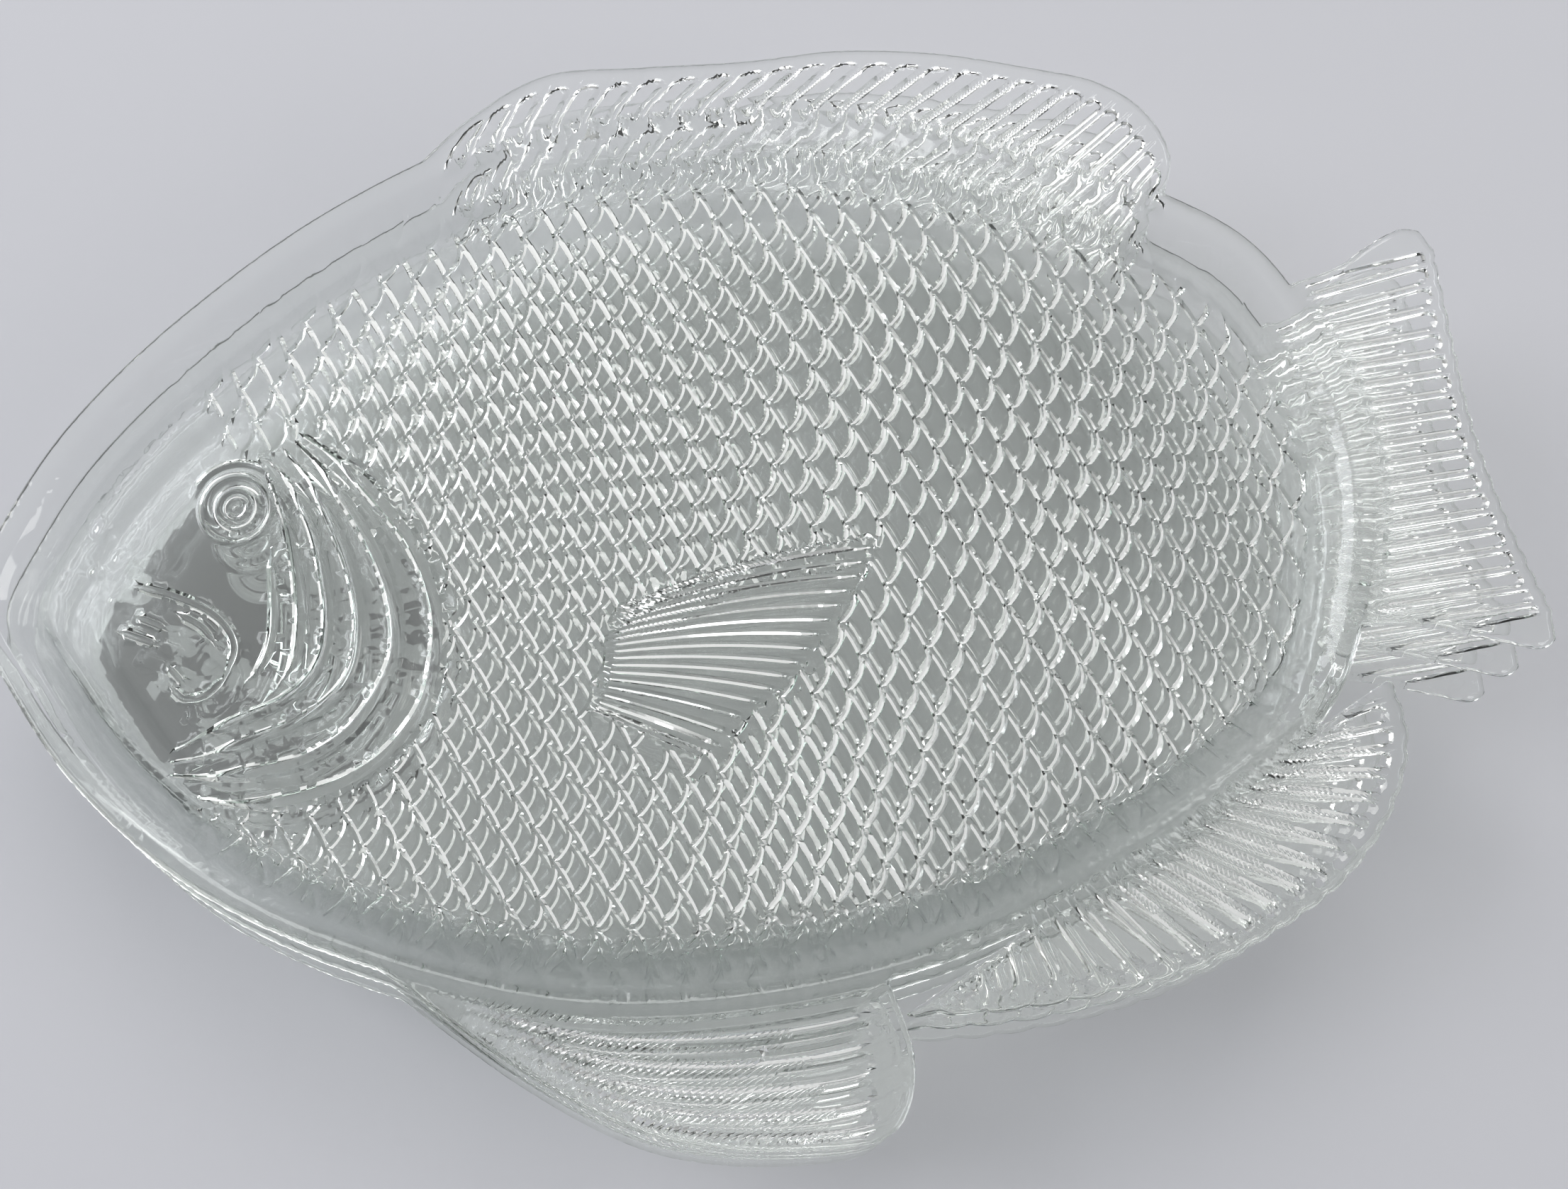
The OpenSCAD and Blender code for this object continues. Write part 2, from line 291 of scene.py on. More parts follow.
def inset_of(p):
    """How far inside the rim each point lies, negative out on the fins."""
    q = p - (DISH_MID, 0)
    r = np.hypot(q[:, 0], q[:, 1])
    f = (np.arctan2(q[:, 1], q[:, 0]) % (2 * np.pi)) / (angles[1])
    i = np.minimum(f.astype(int), len(angles) - 2)
    t = f - i
    column = radii[:, i] * (1 - t) + radii[:, i + 1] * t
    k = np.clip((column > r).sum(0), 1, len(insets) - 1)
    n = np.arange(len(p))
    high, low = column[k - 1, n], column[k, n]
    return np.clip(
        insets[k - 1] + INSET_STEP * (high - r) / np.maximum(high - low, 1e-6), INSET_LOW, INSET_HIGH
    )


print("inset at the middle of the dish:", inset_of(np.array([(DISH_MID, 0.0)])).round(1))

# %% [markdown]
# The upper face runs over the rounded rim, down the wall and across the floor. The lower face stays
# flat under the fins and the rim, and falls to the foot. Both are drawn with a few corners, which are
# then eased, and they meet in a round edge along the outline.

# %% Heights
PROFILE_STEP, PROFILE_REACH = 0.05, 80
EDGE_R = 1.6


def eased_profile(corners, sigma):
    """Heights along the inset, with the corners eased over about sigma millimetres."""
    x = np.arange(-10, 40, PROFILE_STEP)
    y = np.interp(x, *zip(*corners))
    near = np.arange(-PROFILE_REACH, PROFILE_REACH + 1) * PROFILE_STEP
    weight = np.exp(-0.5 * (near / sigma) ** 2)
    y[PROFILE_REACH:-PROFILE_REACH] = np.convolve(y, weight / weight.sum(), "same")[
        PROFILE_REACH:-PROFILE_REACH
    ]
    return x, y


upper = eased_profile([
    (0, 19.4), (1.3, 19.9), (2.75, 20), (4.3, 19.75), (5.4, 19.1),
    (16.5, 5.8), (18, 4.6), (20, 4.2), (30, 4.2),
], 0.35)
lower = eased_profile([(0, 15.8), (2.78, 15.8), (15.85, 0), (30, 0)], 0.45)


def faces_at(inset, distance, relief):
    """Heights of the upper and the lower face, rounded over towards the outline."""
    top, under = np.interp(inset, *upper), np.interp(inset, *lower) + relief
    middle = (np.interp(inset, *upper) + np.interp(inset, *lower)) / 2
    full = np.sqrt(1 - (1 - np.clip(distance / EDGE_R, 0, 1)) ** 2)
    return middle + (top - middle) * full, middle + (under - middle) * full


print("glass in the floor and in a fin:", [
    round(float(np.subtract(*faces_at(at, 9.0, 0))), 2) for at in (25, -5)
], "mm")

# %% [markdown]
# ## Scales
# The scales are a staggered lattice of arcs that bulge towards the tail. Two families of wavy ridge
# lines cross the fish, half a scale apart, and where they touch they make the pointed ends of the
# scales. A ridge has straight flanks of about 44 degrees. Such a flank mirrors light from the side
# straight up through the glass, and so draws a bright line.

# %% Scale field
# a scale is two A high and two B long, and its foremost point lies a little below its middle
SCALE_A, SCALE_B, SCALE_TOP = 9.0, 4.45, -0.2
SCALE_X0, SCALE_Y0 = 2.0, 1.5
STEP_H, RIDGE_H, RIDGE_W = 0.1, 0.7, 0.82
MOULD = STEP_H + RIDGE_H
# insets where the scales begin on the wall and where the floor begins, and their depth on the wall
SCALES_FROM, FLOOR_FROM, FADE = 3.5, 12, 4
WALL_SHARE, FLOOR_SHARE = 0.7, 0.3


def arc_offset(u):
    """How far an arc falls back from its foremost point, and its slope, at a place from -1 to 1."""
    lean = np.where(u > SCALE_TOP, (u - SCALE_TOP) / (1 - SCALE_TOP), (SCALE_TOP - u) / (1 + SCALE_TOP))
    power = np.where(u > SCALE_TOP, 1.6, 2.2)
    run = np.where(u > SCALE_TOP, 1 - SCALE_TOP, 1 + SCALE_TOP) * SCALE_A
    return -SCALE_B * lean**power, SCALE_B * power * lean ** (power - 1) / run


def rounded(distance, width):
    """Rounded line of a half width, 1 in the middle and 0 beyond."""
    return 0.5 + 0.5 * np.cos(np.pi * np.clip(distance / width, 0, 1))


def flanked(distance, width):
    """Line with straight flanks, 1 on its crest and 0 beyond."""
    return 1 - np.clip(distance / width, 0, 1)


def on_wall(inset):
    """Share of the relief's depth: none at the rim, most of it down the wall and all on the floor."""
    on_floor = np.clip((inset - FLOOR_FROM) / FADE, 0, 1)
    return np.clip((inset - SCALES_FROM) / FADE, 0, 1) * (WALL_SHARE + FLOOR_SHARE * on_floor)


def scale_relief(x, y):
    """Depth pressed out of the glass between the ridges."""
    gaps, square = [], []
    for family in (0, 1):
        back, slope = arc_offset(((y - SCALE_Y0) / SCALE_A + 1 - family) % 2 - 1)
        gaps.append((x - SCALE_X0 - family * SCALE_B - back) % (2 * SCALE_B))
        square.append(1 / np.hypot(1, slope))
    left, left_sq = np.minimum(*gaps), np.where(gaps[0] < gaps[1], *square)
    right, right_sq = 2 * SCALE_B - np.maximum(*gaps), np.where(gaps[0] > gaps[1], *square)
    share = left / np.maximum(left + right, 1e-6)
    pad = STEP_H * share**1.5 * np.clip((left + right) / 4, 0, 1)
    stands = np.maximum(
        pad + (MOULD - pad) * flanked(right * right_sq, RIDGE_W),
        pad + (MOULD - pad) * flanked(left * left_sq, RIDGE_W),
    )
    return MOULD - stands


print("scales are pressed", round(MOULD, 2), "mm deep")

# %% [markdown]
# ## Head and side fin
# The gill cover is a set of bowed ridges that run together above the eye and open out below it. Their
# lines and those of the mouth are given by a few points each, with a half width, and are drawn as
# smooth curves.

# %% Lines of the head
gill_lines = [
    ([(81.1, 40.9), (91.6, 31.7), (101.2, 19.8), (109.0, 7.2), (113.3, -6.8), (113.8, -18.3),
      (110.4, -33.1), (103.3, -43.6), (93.7, -50.9), (80.5, -55.6), (65.8, -57.1), (49.4, -54.1)], 2.7),
    ([(79.1, 39.1), (87.3, 28.8), (94.3, 16.6), (100.2, 2.3), (102.9, -11.5), (101.9, -22.8),
      (96.5, -32.6), (88.6, -41.1), (77.3, -46.8), (66.1, -48.5), (53.2, -48.8), (43.1, -47.6)], 2.5),
    ([(76.1, 36.4), (84.2, 24.6), (89.3, 11.3), (92.5, -0.7), (93.4, -12.4), (91.4, -23.6),
      (85.4, -31.4), (75.8, -37.0), (62.7, -40.8), (51.6, -43.3), (42.7, -44.0)], 2.2),
    ([(71.3, 34.9), (77.6, 26.3), (81.9, 16.0), (84.2, 4.0), (85.1, -9.6), (83.1, -19.9),
      (78.1, -26.9), (70.5, -31.7), (59.2, -35.2), (43.3, -41.0)], 2.0),
    ([(68.6, 35.6), (73.2, 25.7), (76.1, 13.6), (77.3, 0.9), (77.3, -10.7), (75.6, -20.0),
      (71.0, -27.1)], 1.8),
    ([(70.9, 10.3), (70.7, -4.2), (69.7, -13.7), (66.8, -21.0), (62.4, -25.2)], 1.6),
]
mouth_lines = [
    ([(35.1, 3.7), (43.5, 0.6), (52.8, -4.3), (58.2, -9.6), (60.3, -15.6), (58.2, -21.6)], 1.9),
    ([(46.2, -5.1), (51.7, -8.9), (54.8, -13.1)], 1.3),
    ([(35.5, -4.8), (41.8, -8.1)], 1.4),
    ([(31.1, -8.3), (39.1, -12.0)], 1.5),
    ([(43.0, -18.9), (46.2, -23.0)], 1.3),
    ([(43.4, -24.2), (46.8, -27.7), (52.4, -27.4), (57.4, -23.4)], 1.4),
]
GILL_DEPTH, GILL_FLANK = 1.33, 1.5
MOUTH_DEPTH, MOUTH_FLANK = 0.8, 0.9
LINE_STEP, LINE_THIN = 0.4, 0.3
line_samples, line_widths, line_mouth, line_rows = [], [], [], []
for number, (points, width) in enumerate(gill_lines + mouth_lines):
    dense = spaced(curve_at(np.array(points), fine[::4]), LINE_STEP, closed=False)
    along = unit_way(dense)
    side = np.stack([-along[:, 1], along[:, 0]], 1)
    # a line is full width in its middle and thins towards both ends
    share = np.linspace(0, 1, len(dense))
    tapered = width * np.clip(np.minimum(share, 1 - share) * 7, LINE_THIN, 1)
    of_mouth = number >= len(gill_lines)
    tapered = np.minimum(tapered, MOUTH_FLANK) if of_mouth else tapered
    line_samples.append(dense)
    line_widths.append(tapered)
    line_mouth.append(np.full(len(dense), of_mouth))
    # rows of points on the crest and down both flanks
    for off in (0 * tapered, tapered, tapered * 2) if of_mouth else (0 * tapered, tapered / 2, tapered):
        line_rows += [(dense + side * off[:, None])[::2], (dense - side * off[:, None])[::2]]
line_samples = np.concatenate(line_samples)
line_widths = np.concatenate(line_widths)
line_mouth = np.concatenate(line_mouth)
line_tree = tree_of(line_samples)
print("head lines:", len(gill_lines) + len(mouth_lines), "with", len(line_samples), "points")

# %% [markdown]
# A gill line is a flat band with sloping flanks, and a mouth line a thin ridge between two hollows.
# The eye is three rings round a dot under a bowed lid, and the two nostrils are round hollows.

# %% Relief of the head
LINE_REACH, FAR_OFF = 3.0, 9
EYE = np.array((62.2, 22.3))
eye_rings = [(9.3, 1.4), (5.6, 1.2), (2.7, 0.9)]
PUPIL_R, LID_R, LID_W = 1.2, 12.6, 1.5
# the lid runs between these angles and fades out at both ends
LID_FROM, LID_TO, LID_FADE = 25, 165, 30
EYE_DEPTH, LID_DEPTH, PUPIL_DEPTH, NOSTRIL_DEPTH = 0.86, 0.92, 1.15, 1.03
nostrils = [((26.5, 19.5), 4.2), ((24.3, 8.4), 2.8)]


def line_relief(near):
    """Depth that the lines within reach of one point press there."""
    index, d = np.array([f[1] for f in near]), np.array([f[2] for f in near])
    w, mouth = line_widths[index], line_mouth[index]
    depth = 0.0
    if not mouth.all():
        depth = GILL_DEPTH * np.clip((w - d)[~mouth] / GILL_FLANK, 0, 1).max()
    if mouth.any():
        nearest = np.argmin(np.where(mouth, d, FAR_OFF))
        hollow = min(d[nearest], 2 * w[nearest] - d[nearest])
        depth = max(depth, MOUTH_DEPTH * np.clip(hollow / MOUTH_FLANK, 0, 1))
    return depth


def head_relief(p):
    """Depth pressed into the head at each point: the deepest of all that is drawn there."""
    found = [line_tree.find_range((x, y, 0), LINE_REACH) for x, y in p]
    relief = np.array([line_relief(near) if near else 0.0 for near in found])
    lid = p - EYE
    from_eye = np.linalg.norm(lid, axis=1)
    for r, width in eye_rings:
        relief = np.maximum(relief, EYE_DEPTH * rounded(np.abs(from_eye - r), width))
    lid_turn = np.degrees(np.arctan2(lid[:, 1], lid[:, 0]))
    lid_share = np.clip(np.minimum(lid_turn - LID_FROM, LID_TO - lid_turn) / LID_FADE, 0, 1)
    relief = np.maximum(relief, LID_DEPTH * lid_share * rounded(np.abs(from_eye - LID_R), LID_W))
    relief = np.maximum(relief, PUPIL_DEPTH * rounded(from_eye, PUPIL_R))
    for at, r in nostrils:
        relief = np.maximum(relief, NOSTRIL_DEPTH * rounded(np.linalg.norm(p - at, axis=1), r))
    return relief


# the scales stop just behind the outermost gill ridge, and leave the head in front of it smooth
GILL_CLEAR = 2.9
gill_rim = curve_at(np.array(gill_lines[0][0]), fine[::20])
gill_way = unit_way(gill_rim)
head_edge = np.concatenate([
    [(-20, 40), (20, 62), (47.5, 60), (52.5, 51), (61.5, 47.5), (72.5, 46)],
    gill_rim + GILL_CLEAR * np.stack([-gill_way[:, 1], gill_way[:, 0]], 1),
    [(40.0, -60), (30, -80), (-20, -60)],
])
print("pupil is pressed", head_relief(EYE[None]).round(2), "mm deep")

# %% [markdown]
# The side fin lies in the middle of the flank. Its rays spread from a short root to a long slanting
# tip, the upper ones gently bowed, and the scales stop at its outline.

# %% Side fin
RAYS, RAY_POINTS = 17, 50
RAY_SHARE, RAY_WIDEST, RAY_SLOPE, RAY_BOW = 0.36, 0.85, 0.9, 2.9
fin_root = np.array([(161.5, -15.3), (158.5, -23.0), (156.3, -32.3), (152.2, -41.6)])
fin_tip = np.array([
    (232.7, -3.2), (228.7, -11.2), (222.5, -20.2), (214.9, -29.0), (207.4, -37.6), (197.2, -45.0),
    (186.2, -53.2), (179.3, -56.7),
])


def side_fin_at(u, v):
    """Point of the side fin: u across the rays from the top, v along them from the root."""
    a, b = curve_at(fin_root, u), curve_at(fin_tip, u)
    across = np.stack([-(b - a)[..., 1], (b - a)[..., 0]], -1)
    across /= np.linalg.norm(across, axis=-1)[..., None]
    return a + (b - a) * v[..., None] + across * (RAY_BOW * (1 - u) * 4 * v * (1 - v))[..., None]


grid_v = np.tile(np.linspace(0, 1, RAY_POINTS), (RAYS * 4 + 1, 1))
low_ray, top_ray = (side_fin_at(np.full(RAY_POINTS, u), grid_v[0]) for u in (1.0, 0.0))
fan_pitch = np.linalg.norm(low_ray - top_ray, axis=1) / RAYS
ray_half = np.minimum(RAY_SHARE * fan_pitch, RAY_WIDEST) / fan_pitch
# places across each ray: its crest, its foot, the middle of the hollow and the next foot
across_ray = np.stack([0 * ray_half, ray_half, 0 * ray_half + 0.5, 1 - ray_half])
grid_u = np.concatenate([
    (np.arange(RAYS)[:, None, None] + across_ray).reshape(-1, RAY_POINTS),
    np.full((1, RAY_POINTS), RAYS),
]) / RAYS
side_points = side_fin_at(grid_u.ravel(), grid_v.ravel())
from_ridge = 0.5 - np.abs((grid_u * RAYS) % 1 - 0.5)
ray = flanked(from_ridge, ray_half[None, :])
root_fade = np.clip(grid_v / 0.05, 0.3, 1)
tip_fade = 1 - 0.5 * np.clip((grid_v - 0.9) / 0.1, 0, 1)
side_relief = (RAY_SLOPE * ray_half * fan_pitch * (1 - ray) * root_fade * tip_fade).ravel()


def land_of(place, count):
    """Closed line round all that a function of u and v draws, with a number of points to a side."""
    there, back, one = np.linspace(0, 1, count), np.linspace(1, 0, count), np.ones(count)
    return np.concatenate([
        place(0 * one, there), place(there, one), place(one, back), place(back, 0 * one),
    ])


side_outline = land_of(side_fin_at, 20)
print("side fin points:", len(side_points), "deepest", side_relief.max().round(2))

# %% [markdown]
# ## Flutes of the fins
# Every fin is a row of cells between thin ridges that fan out from the rim. A cell holds one hollow
# tongue with rounded ends. Beyond the tongues a plain margin runs along the edge with its bead.

# %% Cells of a fin
MARGIN, TONGUE_DEPTH = 0.3, 0.95
FLUTE_RIDGE, TONGUE_SHARE, TONGUE_FLANK = 0.8, 0.84, 1.1
# cells narrower than these fade out, and a nudge across a cell measures its width
HALF_LEAST, HALF_PLAIN, HALF_EASE, NUDGE = 0.5, 0.7, 1.2, 0.002
# places of the points across one cell; they crowd where the hollow drops away from its ridges
across_cell = np.array([0.0, 0.08, 0.15, 0.24, 0.37, 0.5, 0.63, 0.76, 0.85, 0.92])


def fluted(place, cells, end_gap, rows, start_gap=2.5, ease=2.5):
    """Points of a fin's cells with the relief of each, eased in from the rim (v = 0) to the edge (v = 1)."""
    u, v = np.meshgrid(
        np.append((np.arange(cells)[:, None] + across_cell).ravel(), cells) / cells,
        np.linspace(0, 1, rows), indexing="ij",
    )
    p = place(u.ravel(), v.ravel()).reshape(u.shape + (2,))
    along = np.gradient(p, axis=1)
    step = np.linalg.norm(along, axis=2)
    along /= step[..., None]
    # how far along its cell a point lies, and half the width of the cell there
    done = np.cumsum(step, axis=1) - step[:, :1]
    length = done[:, -1:]
    aside = [place((u + nudge).ravel(), v.ravel()) for nudge in (NUDGE, -NUDGE)]
    sideways = (aside[0] - aside[1]).reshape(p.shape)
    half = abs(sideways[..., 0] * along[..., 1] - sideways[..., 1] * along[..., 0]) / (2 * NUDGE) / cells / 2
    half = np.maximum(half, HALF_LEAST)
    # the tongue keeps clear of both ends of its cell
    across = np.abs((u * cells) % 1 * 2 - 1)
    past = np.maximum(done - (length - end_gap - half), 0) / half
    before = np.maximum(start_gap + half - done, 0) / half
    out_of = np.hypot(across / TONGUE_SHARE, np.maximum(past, before))
    tongue = np.clip((1 - out_of) * half / TONGUE_FLANK, 0, 1)
    ridge = rounded((1 - across) * half, FLUTE_RIDGE)
    wide_enough = np.clip((half - HALF_PLAIN) / HALF_EASE, 0, 1)
    relief = (MARGIN * (1 - ridge) + TONGUE_DEPTH * tongue) * wide_enough * np.clip(done / ease, 0, 1)
    return p.reshape(-1, 2), relief.ravel()


print("a tongue is pressed", MARGIN + TONGUE_DEPTH, "mm deep")

# %% [markdown]
# The flutes of the back, the tail and the anal fin are straight, and spread from a stretch of the rim
# to a stretch of the fin's edge. The pelvic fin has long bands that run back along it instead.

# %% Ways of the flutes
# the belly's rim and the fin's outer edge, between which the long bands run
BELLY_FROM, BELLY_TO, OUTER_FROM, OUTER_POINTS = 104, 224, 108, 760
BAND_SPREAD = 1.3
on_belly = (dish_loop[:, 1] < 0) & (dish_loop[:, 0] > BELLY_FROM) & (dish_loop[:, 0] < BELLY_TO)
belly_run = dish_loop[on_belly][::-1]
pelvic_back = pelvic_edge[::-1]
outer_run = pelvic_back[pelvic_back[:, 0] > OUTER_FROM][:OUTER_POINTS]


def fan(roots, points, tips=(0.0, 1.0), reach=0.0):
    """Straight flutes to a stretch of a fin's edge, begun a reach inside the rim."""
    def place(u, v):
        a = dish_ring(reach, roots[0] + (roots[1] - roots[0]) * u)
        b = curve_at(points, tips[0] + (tips[1] - tips[0]) * u)
        return a + (b - a) * v[:, None]
    return place


def along_line(line, share):
    """Point of a dense line at a share of its length in points."""
    f = np.clip(share, 0, 1) * (len(line) - 1)
    return np.column_stack([np.interp(f, np.arange(len(line)), line[:, k]) for k in (0, 1)])


def long_bands(u, v):
    """The pelvic fin: bands that run back along the fin, from a point at the front."""
    u = 1 - (1 - np.clip(u, 0, 1)) ** BAND_SPREAD
    inner, outer = along_line(belly_run, v), along_line(outer_run, v)
    return inner + (outer - inner) * u[:, None]


print("pelvic bands run", belly_run[0].round(), "to", belly_run[-1].round())

# %% [markdown]
# The flutes of the back fin and the anal fin cross the rim and end on the upper wall, so the other
# points of the wall are kept off the ground that those two fins take.

# %% The four fins
BACK_REACH, ANAL_REACH, RIM_REACH = 4.5, 4.5, 1.0
back_fan = fan((0.19, 0.385), back_points, (0.1, 0.95), BACK_REACH)
tail_fan = fan((0.435, 0.563), tail_points)
anal_fan = fan((0.6, 0.71), anal_points, reach=ANAL_REACH)
fin_patches = {
    "back": fluted(back_fan, BACK_FLUTES, end_gap=5.0, rows=32, start_gap=0.3),
    "tail": fluted(tail_fan, TAIL_FLUTES, end_gap=2.8, rows=30),
    "anal": fluted(anal_fan, ANAL_FLUTES, end_gap=4.0, rows=30, start_gap=0.3, ease=8),
    "pelvic": fluted(long_bands, PELVIC_FLUTES, end_gap=7.0, rows=60, start_gap=6),
}
fin_reach = {"back": BACK_REACH, "tail": RIM_REACH, "anal": ANAL_REACH, "pelvic": RIM_REACH}
back_land, anal_land = land_of(back_fan, 60), land_of(anal_fan, 60)


def off_lands(p):
    """True for the points that lie off the cells of the back fin and the anal fin."""
    return outside(p, back_land) & outside(p, anal_land)


for name, (p, relief) in fin_patches.items():
    print(name, "fin:", len(p), "points, deepest", relief.max().round(2))

# %% [markdown]
# ## The glass as one closed skin
# An even grid pushed in by a texture would need millions of faces for ridges this fine. Here points
# are laid where the glass bends: many on the lower face and few on the upper. They come in order of
# importance, and one that is too near an earlier one is dropped. A grid of small squares remembers
# where a point lies.

# %% Sieve for the points
CELL = 0.25
GRID_FROM, GRID_SHAPE = (-10, -170), (1800, 1400)
taken = np.zeros(GRID_SHAPE, bool)


def cells_of(p):
    """Square of the grid that each point lies in."""
    return ((p - GRID_FROM) / CELL).astype(int).T


def sift(p, clear):
    """Keep the points that have nothing laid within the distance, and mark them as laid."""
    i, j = cells_of(p)
    reach = int(math.ceil(clear / CELL))
    free = np.ones(len(p), bool)
    for di in range(-reach, reach + 1):
        for dj in range(-reach, reach + 1):
            if math.hypot(di, dj) * CELL <= clear:
                free &= ~taken[i + di, j + dj]
    _, first = np.unique(i * GRID_SHAPE[1] + j, return_index=True)
    alone = np.zeros(len(p), bool)
    alone[first] = True
    keep = free & alone
    taken[i[keep], j[keep]] = True
    return keep


def inside_edge(p, clear):
    """The points that lie inside the outline and clear of it."""
    p = p[~outside(p, edge)]
    return p[edge_distance(p) > clear]


print("grid of", GRID_SHAPE, "squares of", CELL, "mm")

# %% [markdown]
# The edge of the glass is round, so three rings follow the outline closely on both faces. Inside
# them come the rings of the wall, and the rest is filled evenly.

# %% Rings and fill
RIM_RINGS, RING_CLEAR, RING_TRUE = (0.15, 0.6, 1.6), 0.2, 0.85
ROW_SHARE = 0.866
FILL_FROM, FILL_TO = (-2, -160), (404, 140)


def rings_in(count):
    """Shares of the way round the dish, for a ring of so many points."""
    return np.linspace(0, 1, count, endpoint=False)


def hexagonal(step):
    """Even fill of points a step apart, in staggered rows."""
    rows = np.arange(FILL_FROM[1], FILL_TO[1], step * ROW_SHARE)
    x = np.arange(FILL_FROM[0], FILL_TO[0], step)
    return np.concatenate([
        np.stack([x + (k % 2) * step / 2, np.full(len(x), y)], 1) for k, y in enumerate(rows)
    ])


rim_rings = []
for inset_in in RIM_RINGS:
    ring = edge + inward * inset_in
    ring = ring[~outside(ring, edge)]
    rim_rings.append(ring[edge_distance(ring) > inset_in * RING_TRUE])
print("rings along the outline:", [len(ring) for ring in rim_rings])

# %% [markdown]
# The lower face begins with those rings and the flutes. A flute keeps off the rounded edge, and its
# depth fades in next to it. The pelvic fin also keeps off the anal fin, which lies beside it.

# %% Lower face: fins
FIN_CLEAR, FIN_FROM, FADE_FROM, FADE_OVER, REACH_PLAY = 0.35, 1.9, 1.6, 1.2, 0.2
SIDE_CLEAR = 0.3
lower_points, lower_relief = [], []


def lay(p, relief=0.0):
    """Add points to the lower face, each with the depth that is pressed out there."""
    lower_points.append(p)
    lower_relief.append(np.broadcast_to(relief, len(p)))


taken[tuple(cells_of(edge))] = True
for ring in rim_rings:
    lay(ring[sift(ring, RING_CLEAR)])
for name, (p, relief) in fin_patches.items():
    good = ~outside(p, edge)
    p, relief = p[good], relief[good]
    far = edge_distance(p)
    good = (far > FIN_FROM) & (inset_of(p) < fin_reach[name] + REACH_PLAY)
    if name == "pelvic":
        good &= outside(p, anal_edge)
    p, relief, far = p[good], relief[good], far[good]
    good = sift(p, FIN_CLEAR)
    lay(p[good], (relief * np.clip((far - FADE_FROM) / FADE_OVER, 0, 1))[good])
good = sift(side_points, SIDE_CLEAR)
lay(side_points[good], side_relief[good])
print("rings, fins and side fin:", sum(len(p) for p in lower_points), "points")

# %% [markdown]
# The head has circles of points round the eye and the nostrils, and rows along its lines. Three more
# rings mark where the underside turns from the rim into the wall.

# %% Lower face: head and turn of the wall
HEAD_STEP, EYE_OUT, HEAD_CLEAR = 0.6, 15, 0.45
TURN_RINGS, TURN_POINTS, TURN_CLEAR = (2.1, 2.8, 3.5), 900, 0.5
EDGE_CLEAR = 1.7


def circle(centre, r, count):
    """Points round a circle."""
    t = np.linspace(0, 2 * np.pi, count, endpoint=False)
    return centre + r * np.stack([np.cos(t), np.sin(t)], 1)


eye_points = [circle(EYE, r, int(r * 6) + 6) for r in np.arange(HEAD_STEP, EYE_OUT, HEAD_STEP)]
nose_points = [
    circle(np.array(at), r, max(int(r * 6), 6))
    for at, size in nostrils
    for r in np.arange(0.5, size + HEAD_STEP, HEAD_STEP)
]
head_points = np.concatenate(eye_points + nose_points + line_rows)
head_points = head_points[sift(head_points, HEAD_CLEAR)]
lay(head_points, head_relief(head_points))

for inset_in in TURN_RINGS:
    p = inside_edge(dish_ring(inset_in, rings_in(TURN_POINTS)), EDGE_CLEAR)
    p = p[off_lands(p)]
    lay(p[sift(p, TURN_CLEAR)])
print("head:", len(head_points), "points")

# %% [markdown]
# Each ridge between two scales gets three rows of points, one on its crest and one at the foot of
# either flank. Without them the triangles would cut across the ridges and make them ragged.

# %% Lower face: scales
ARC_STEP, RIDGES_FROM, SCALE_CLEAR = 1.0, 3.9, 0.4
SCALES_X, SCALES_Y = (2, 358), 125
u = np.linspace(-1, 1, 200)
arc = spaced(np.column_stack([arc_offset(u)[0], u * SCALE_A]), ARC_STEP, closed=False)[:-1]
along = unit_way(arc)
side = np.column_stack([along[:, 1], -along[:, 0]])
starts = np.array([
    (SCALE_X0 + family * SCALE_B + 2 * SCALE_B * j, SCALE_Y0 + SCALE_A * (family + 2 * m))
    for family in (0, 1) for j in range(-1, 44) for m in range(-8, 8)
])


def among_scales(p):
    """True for the points that lie off the head, the side fin and the two fins that cross the rim."""
    return outside(p, head_edge) & outside(p, side_outline) & off_lands(p)


for off in (0.0, RIDGE_W, -RIDGE_W):
    p = (starts[:, None, :] + (arc + side * off)[None]).reshape(-1, 2)
    p = p[(p[:, 0] > SCALES_X[0]) & (p[:, 0] < SCALES_X[1]) & (abs(p[:, 1]) < SCALES_Y)]
    p = p[inset_of(p) > RIDGES_FROM]
    p = p[among_scales(p)]
    p = p[sift(p, SCALE_CLEAR)]
    lay(p, scale_relief(p[:, 0], p[:, 1]) * on_wall(inset_of(p)))
print("scales on a platter:", ((inset_of(starts) > RIDGES_FROM) & among_scales(starts)).sum())

# %% [markdown]
# What is left of the lower face is smooth wall, floor and rim. Rings follow the wall where no scale
# covers it, and an even fill takes the rest.

# %% Lower face: wall and fill
WALL_RINGS = (0.9, 4.4, 6.0, 8.0, 10.0, 12.0, 14.0, 15.0, 15.9, 16.8, 18.0)
WALL_POINTS, WALL_CLEAR, ON_RIM = 560, 0.7, 3
FILL_STEP, FILL_EDGE, FILL_CLEAR = 2.2, 2.4, 1.0
for inset_in in WALL_RINGS:
    p = inside_edge(dish_ring(inset_in, rings_in(WALL_POINTS)), EDGE_CLEAR)
    good = (~outside(p, head_edge)) | (inset_of(p) < ON_RIM)
    p = p[good & off_lands(p)]
    lay(p[sift(p, WALL_CLEAR)])
fill = inside_edge(hexagonal(FILL_STEP), FILL_EDGE)
fill = fill[off_lands(fill)]
fill = fill[sift(fill, FILL_CLEAR)]
inset = inset_of(fill)
in_head = ~outside(fill, head_edge)
in_scales = (inset > SCALES_FROM) & ~in_head & outside(fill, side_outline)
scale_depth = scale_relief(fill[:, 0], fill[:, 1]) * on_wall(inset)
